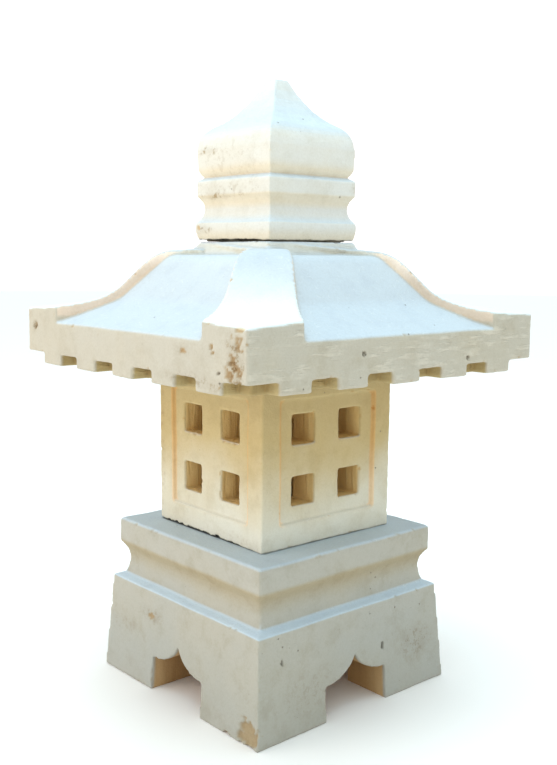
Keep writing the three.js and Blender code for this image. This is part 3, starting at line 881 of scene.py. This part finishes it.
def porcelain_body():
    body = turned([
        (18, 0, 0.4), (37.2, 0, 0.8), (38, 0.8, 0.6), (38, 3.8, 1.2), (36.8, 5, 0.8),
        (28.4, 5, 0.8), (26, 5.8, 0.8), (25.6, 9.6, 0.6), (24.6, 10.4, 0.4), (24.3, 12, 1),
        (23.2, 36, 2), (20.4, 40, 1.6), (16.4, 40, 0.8), (14.8, 38.6, 0.6), (14.8, 14, 0.3),
        (5, 14, 0.4), (5, 9, 0.4), (18, 9, 0.6),
    ])
    hole = [(0, -1, 0), (2.4, -1, 0), (2.4, 4.3, 0), (3.2, 5.1, 0), (3.2, 6, 0), (0, 6, 0)]
    return cut(body, [moved(turned(hole, 32), side * 31, 0, 0) for side in (-1, 1)])


def lamp_thread():
    sheet = [*ladder(14.25, 16, 38), *ladder(13.95, 38, 16)]
    return threaded(turned(sheet), 16.4, 37.6, THREAD_PITCH, THREAD_DEPTH)


def centre_contact():
    return turned([
        (0, 0, 0), (6.4, 0, 0), (7, 0.3, 0.2), (6.4, 0.7, 0.3), (4.6, 0.5, 0.5),
        (3.4, 1.1, 0.5), (1.6, 1.2, 0.4), (1.2, 0.95, 0.2), (0, 0.95, 0),
    ], 64)


def cable_bush():
    return turned([
        (4, -3, 0.6), (13, -3, 0.9), (14, -2.2, 0.6), (14, -0.4, 0.4), (13.6, 0, 0),
        (9.3, 0, 0.5), (8.7, 0.8, 0.4), (8.7, 3.4, 0.3), (8.2, 4, 0.3), (8.7, 4.6, 0.3),
        (8.7, 7.4, 0.3), (8.2, 8, 0.3), (8.7, 8.6, 0.3), (8.5, 11.6, 0.6), (7.9, 12, 0.4),
        (4.6, 12, 0.5), (4, 11.2, 0.5),
    ], 64)


def bulb_shell():
    shell = turned([
        (9.0, 19.1, 0.2), (9.7, 19.0, 0.3), (12.4, 21.0, 0.8), *ladder(12.7, 22.2, 37.8),
        (12.9, 38.6, 0.3), (12.5, 39.3, 0.3), (12.9, 40, 0.3), (12.9, 41, 0.2), (12.2, 41, 0.2),
        (12.1, 38.6, 0.2), *ladder(12.1, 37.8, 22.2), (11.8, 21.4, 0.3), (9.3, 19.6, 0.2),
    ])
    return threaded(shell, 22, 38, THREAD_PITCH, THREAD_DEPTH, 11.9)


def bulb_insulator():
    return turned([
        (0, 16, 0), (3.9, 16, 0), (5.1, 16.3, 0.5), (9.2, 19.2, 0.4), (9.2, 20.6, 0.3), (0, 20.6, 0),
    ])


def solder_tip():
    return turned([
        (0, 15.6, 0), (1.9, 15.6, 0.8), (3.4, 15.8, 0.5), (4, 16, 0.1), (3.6, 16.2, 0.1), (0, 16.2, 0),
    ], 48)


def opal_globe():
    centre, radius, wall, neck_angle = 66.5, 22.5, 1.2, -0.82
    inside = arc(centre, radius - wall, math.pi / 2, neck_angle)
    outside = arc(centre, radius, neck_angle, math.pi / 2)
    neck = [(11, 45, 3), (11, 41, 0.3), (12.2, 41, 0.3), (12.2, 45.2, 3)]
    return turned([*inside, *neck, *outside])


def wood_screw():
    shank = ladder(1.35, -21, -1.6, 0.2)
    screw = turned([
        (0, -24, 0), (0.25, -23.6, 0.1), *shank, (1.7, -1, 0.2), (1.7, 0, 0), (3.7, 0, 0.3),
        (4, 0.5, 0.3), (3.5, 1.6, 1), (2, 2.3, 1), (0, 2.4, 0),
    ], 32)
    screw = threaded(screw, -23.4, -1.8, 1.4, 0.3, 0.2)
    slots = [box_mesh(2.6, 0.5, 0.9, 4), box_mesh(0.5, 2.6, 0.9, 4)]
    return cut(screw, slots)


def nylon_plug():
    ribs = []
    for index in range(9):
        low = -23 + 2.5 * index
        ribs += [(2.7, low, 0.2), (3.0, low + 1.6, 0.2), (2.7, low + 1.9, 0.1)]
    plug = turned([(2, -24, 0.2), (2.6, -24, 0.3), *ribs, (3, -0.3, 0.2), (2.9, 0, 0.1),
                   (2, 0, 0.2)], 32)
    return cut(plug, [box_mesh(4, 0.4, -25, -7)])


def porcelain():
    n = Nodes("glazed_porcelain")
    color = n.mix(n.ramp(n.noise(60, 3), 0.35, 0.7), (0.86, 0.84, 0.78), (0.76, 0.73, 0.65))
    color = n.mix(n.times(n.pits(3.5 * MM, 0.25 * MM, 0.12), 0.7), color, (0.30, 0.22, 0.15))
    relief = n.bump(n.noise(180, 3), 0.08 * MM)
    rough = n.ramp(n.noise(90, 3), 0.3, 0.7, 0.10, 0.24)
    return n.finish(color, rough, relief, Coat_Weight=0.5, Coat_Roughness=0.06)


def metal(name, bright, tarnished, smooth):
    """Rolled sheet or drawn wire, dulled in patches."""
    n = Nodes(name)
    patches = n.ramp(n.noise(140, 4, 0.65), 0.42, 0.68)
    scratches = n.noise(900, 2, 0.5, n.stretched((1.0, 1.0, 0.06)))
    color = n.mix(patches, bright, tarnished)
    color = n.mix(n.ramp(scratches, 0.55, 0.75, 0.0, 0.3), color, (0.55, 0.55, 0.55), "MULTIPLY")
    rough = n.ramp(n.math("ADD", patches, scratches), 0.3, 1.5, smooth, smooth + 0.3)
    return n.finish(color, rough, n.bump(scratches, 0.03 * MM), Metallic=1.0)


def moulded(name, color, dust, rough, dust_share):
    """Moulded rubber, nylon or black glass, with some dust on it."""
    n = Nodes(name)
    dusty = n.ramp(n.noise(110, 4, 0.65), 0.45, 0.72, 0.0, dust_share)
    tone = n.mix(dusty, color, dust)
    relief = n.bump(n.noise(700, 3, 0.6), 0.05 * MM)
    return n.finish(tone, n.ramp(dusty, 0.0, 0.6, rough, min(0.95, rough + 0.3)), relief)


def opal_glass():
    n = Nodes("opal_glass")
    color = n.mix(n.ramp(n.noise(45, 2), 0.35, 0.7), (0.93, 0.91, 0.86), (0.88, 0.86, 0.80))
    relief = n.bump(n.noise(60, 2), 0.05 * MM)
    rough = n.ramp(n.noise(160, 3), 0.3, 0.7, 0.26, 0.36)
    return n.finish(color, rough, relief, Subsurface_Weight=0.35, Subsurface_Scale=0.004,
                    Coat_Weight=0.3, Coat_Roughness=0.2)


def fitting_piece(name, mesh, place, finish, body, slot, node):
    mesh.transform(Matrix.Translation(place))
    mesh.materials.clear()
    mesh.materials.append(finish)
    mesh.shade_smooth()
    mesh.set_sharp_from_angle(angle=math.radians(38))
    piece = bpy.data.objects.new(name, mesh)
    bpy.context.scene.collection.objects.link(piece)
    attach(piece, body)
    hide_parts(node)


def middle_of(node, height):
    low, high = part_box(node)
    return Vector((0.5 * (low.x + high.x), 0.5 * (low.y + high.y), height))


def build_fitting():
    seat = Vector((0, 0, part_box("lampholder_body")[0].z))
    contact = middle_of("lampholder_contact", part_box("lampholder_contact")[0].z)
    ceiling = middle_of("cable_grommet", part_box("cable_grommet")[0].z + BUSH_LIP * MM)
    brass = metal("brass", (0.76, 0.58, 0.28), (0.46, 0.31, 0.14), 0.22)
    steel = metal("zinc_plated_steel", (0.62, 0.63, 0.65), (0.42, 0.41, 0.38), 0.25)
    nylon = moulded("grey_nylon", (0.40, 0.42, 0.44), (0.50, 0.47, 0.42), 0.42, 0.4)
    rubber = moulded("black_rubber", (0.025, 0.025, 0.027), (0.20, 0.18, 0.15), 0.65, 0.45)
    black_glass = moulded("black_glass", (0.012, 0.012, 0.015), (0.12, 0.11, 0.10), 0.12, 0.3)
    glass = opal_glass()
    pieces = [
        ("lampholder_porcelain", porcelain_body(), seat, porcelain(), "base", "ceramic",
         "lampholder_body"),
        ("lampholder_thread", lamp_thread(), seat, brass, "base", "brass", "lampholder_liner"),
        ("lampholder_spring", centre_contact(), contact, brass, "base", "brass",
         "lampholder_contact"),
        ("cable_bush", cable_bush(), ceiling, rubber, "base", "rubber", "cable_grommet"),
        ("bulb_threaded_cap", bulb_shell(), seat, brass, "bulb", "brass", "bulb_cap"),
        ("bulb_insulator", bulb_insulator(), seat, black_glass, "bulb", "ceramic", "bulb_cap"),
        ("bulb_solder_tip", solder_tip(), seat, brass, "bulb", "brass", "bulb_tip"),
        ("bulb_opal_globe", opal_globe(), seat, glass, "bulb", "frosted_glass", "bulb_globe"),
    ]
    for i in (1, 2):
        screw, plug = f"fixing_screw_{i}", f"wall_plug_{i}"
        head = middle_of(screw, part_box(screw)[0].z + SCREW_LENGTH * MM)
        mouth = middle_of(plug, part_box(plug)[1].z)
        pieces.append((f"cross_head_screw_{i}", wood_screw(), head, steel, "base", "steel", screw))
        pieces.append((f"ribbed_plug_{i}", nylon_plug(), mouth, nylon, "base", "nylon", plug))
    for piece in pieces:
        fitting_piece(*piece)


# ---- Studio -----------------------------------------------------------------------------------

def build_floor():
    """A pale round floor, wide enough to run out of sight."""
    rings = (0.0, 0.4, 1.2, 4.0, FLOOR_RADIUS)
    mesh = bpy.data.meshes.new("studio_floor")
    shape = bmesh.new()
    verts = [shape.verts.new((radius, 0, 0)) for radius in rings]
    for first, second in zip(verts, verts[1:]):
        shape.edges.new((first, second))
    bmesh.ops.spin(shape, geom=shape.verts[:] + shape.edges[:], cent=(0, 0, 0), axis=(0, 0, 1),
                   angle=2 * math.pi, steps=96, use_merge=True)
    bmesh.ops.remove_doubles(shape, verts=shape.verts, dist=MM)
    bmesh.ops.recalc_face_normals(shape, faces=shape.faces)
    shape.to_mesh(mesh)
    shape.free()
    floor = bpy.data.objects.new("studio_floor", mesh)
    bpy.context.scene.collection.objects.link(floor)
    n = Nodes("studio_floor")
    tone = n.mix(n.noise(3, 3), (0.98, 0.92, 0.89), (1.0, 0.94, 0.91))
    mesh.materials.append(n.finish(tone, 0.95))


def soft_light(name, place, aim, size, power, color):
    data = bpy.data.lights.new(name, "AREA")
    data.shape = "DISK"
    data.size = size
    data.energy = power
    data.color = color
    light = bpy.data.objects.new(name, data)
    light.location = place
    light.rotation_euler = (Vector(aim) - Vector(place)).to_track_quat("-Z", "Y").to_euler()
    bpy.context.scene.collection.objects.link(light)


def build_world():
    """White at the horizon, pale blue above, and dimmer on the right."""
    world = bpy.data.worlds.new("studio")
    world.use_nodes = True
    tree = world.node_tree
    background = tree.nodes["Background"]
    direction = tree.nodes.new("ShaderNodeTexCoord").outputs["Generated"]
    split = tree.nodes.new("ShaderNodeSeparateXYZ")
    tree.links.new(direction, split.inputs["Vector"])
    color = None
    layers = [
        ("Z", 0.12, 0.5, WHITE, WORLD_ABOVE),
        ("X", -0.1, 0.8, WHITE, WORLD_RIGHT),
    ]
    for axis, low, high, first, second in layers:
        share = tree.nodes.new("ShaderNodeMapRange")
        share.interpolation_type = "SMOOTHSTEP"
        tree.links.new(split.outputs[axis], share.inputs["Value"])
        share.inputs["From Min"].default_value = low
        share.inputs["From Max"].default_value = high
        blend = tree.nodes.new("ShaderNodeMix")
        blend.data_type = "RGBA"
        blend.blend_type = "MULTIPLY"
        tree.links.new(share.outputs["Result"], blend.inputs["Factor"])
        blend.inputs["A"].default_value = first
        blend.inputs["B"].default_value = second
        if color is not None:
            tree.links.new(color, blend.inputs["A"])
        color = blend.outputs["Result"]
    tree.links.new(color, background.inputs["Color"])
    background.inputs["Strength"].default_value = WORLD_STRENGTH
    bpy.context.scene.world = world


def build_lights():
    middle = (0, 0, TARGET_HEIGHT)
    soft_light("sky_light", (0.1, -0.1, 3.2), middle, 2.4, 46, (0.60, 0.88, 1.0))
    soft_light("left_light", (-1.3, -2.9, 0.9), middle, 2.2, 24, (1.0, 0.91, 0.81))
    soft_light("warm_light", (-0.9, -1.9, 1.25), (0, 0, 0.55), 1.0, 2.5, (1.0, 0.62, 0.30))


def build_camera():
    azimuth, elevation = math.radians(CAMERA_AZIMUTH), math.radians(CAMERA_ELEVATION)
    roll = math.radians(CAMERA_ROLL)
    back = Vector((math.sin(azimuth) * math.cos(elevation),
                   -math.cos(azimuth) * math.cos(elevation),
                   math.sin(elevation)))
    level = Vector((math.cos(azimuth), math.sin(azimuth), 0))
    upright = back.cross(level)
    right = math.cos(roll) * level - math.sin(roll) * upright
    up = math.sin(roll) * level + math.cos(roll) * upright
    target = TARGET_RIGHT * level + Vector((0, 0, TARGET_HEIGHT))
    data = bpy.data.cameras.new("camera")
    data.lens = CAMERA_LENS
    camera = bpy.data.objects.new("camera", data)
    axes = Matrix((right, up, back)).transposed().to_4x4()
    camera.matrix_world = Matrix.Translation(target + CAMERA_DISTANCE * back) @ axes
    bpy.context.scene.collection.objects.link(camera)
    bpy.context.scene.camera = camera


build_camera()
build_stones()
build_fitting()
build_floor()
build_lights()
build_world()
bpy.context.scene.view_settings.view_transform = "Standard"
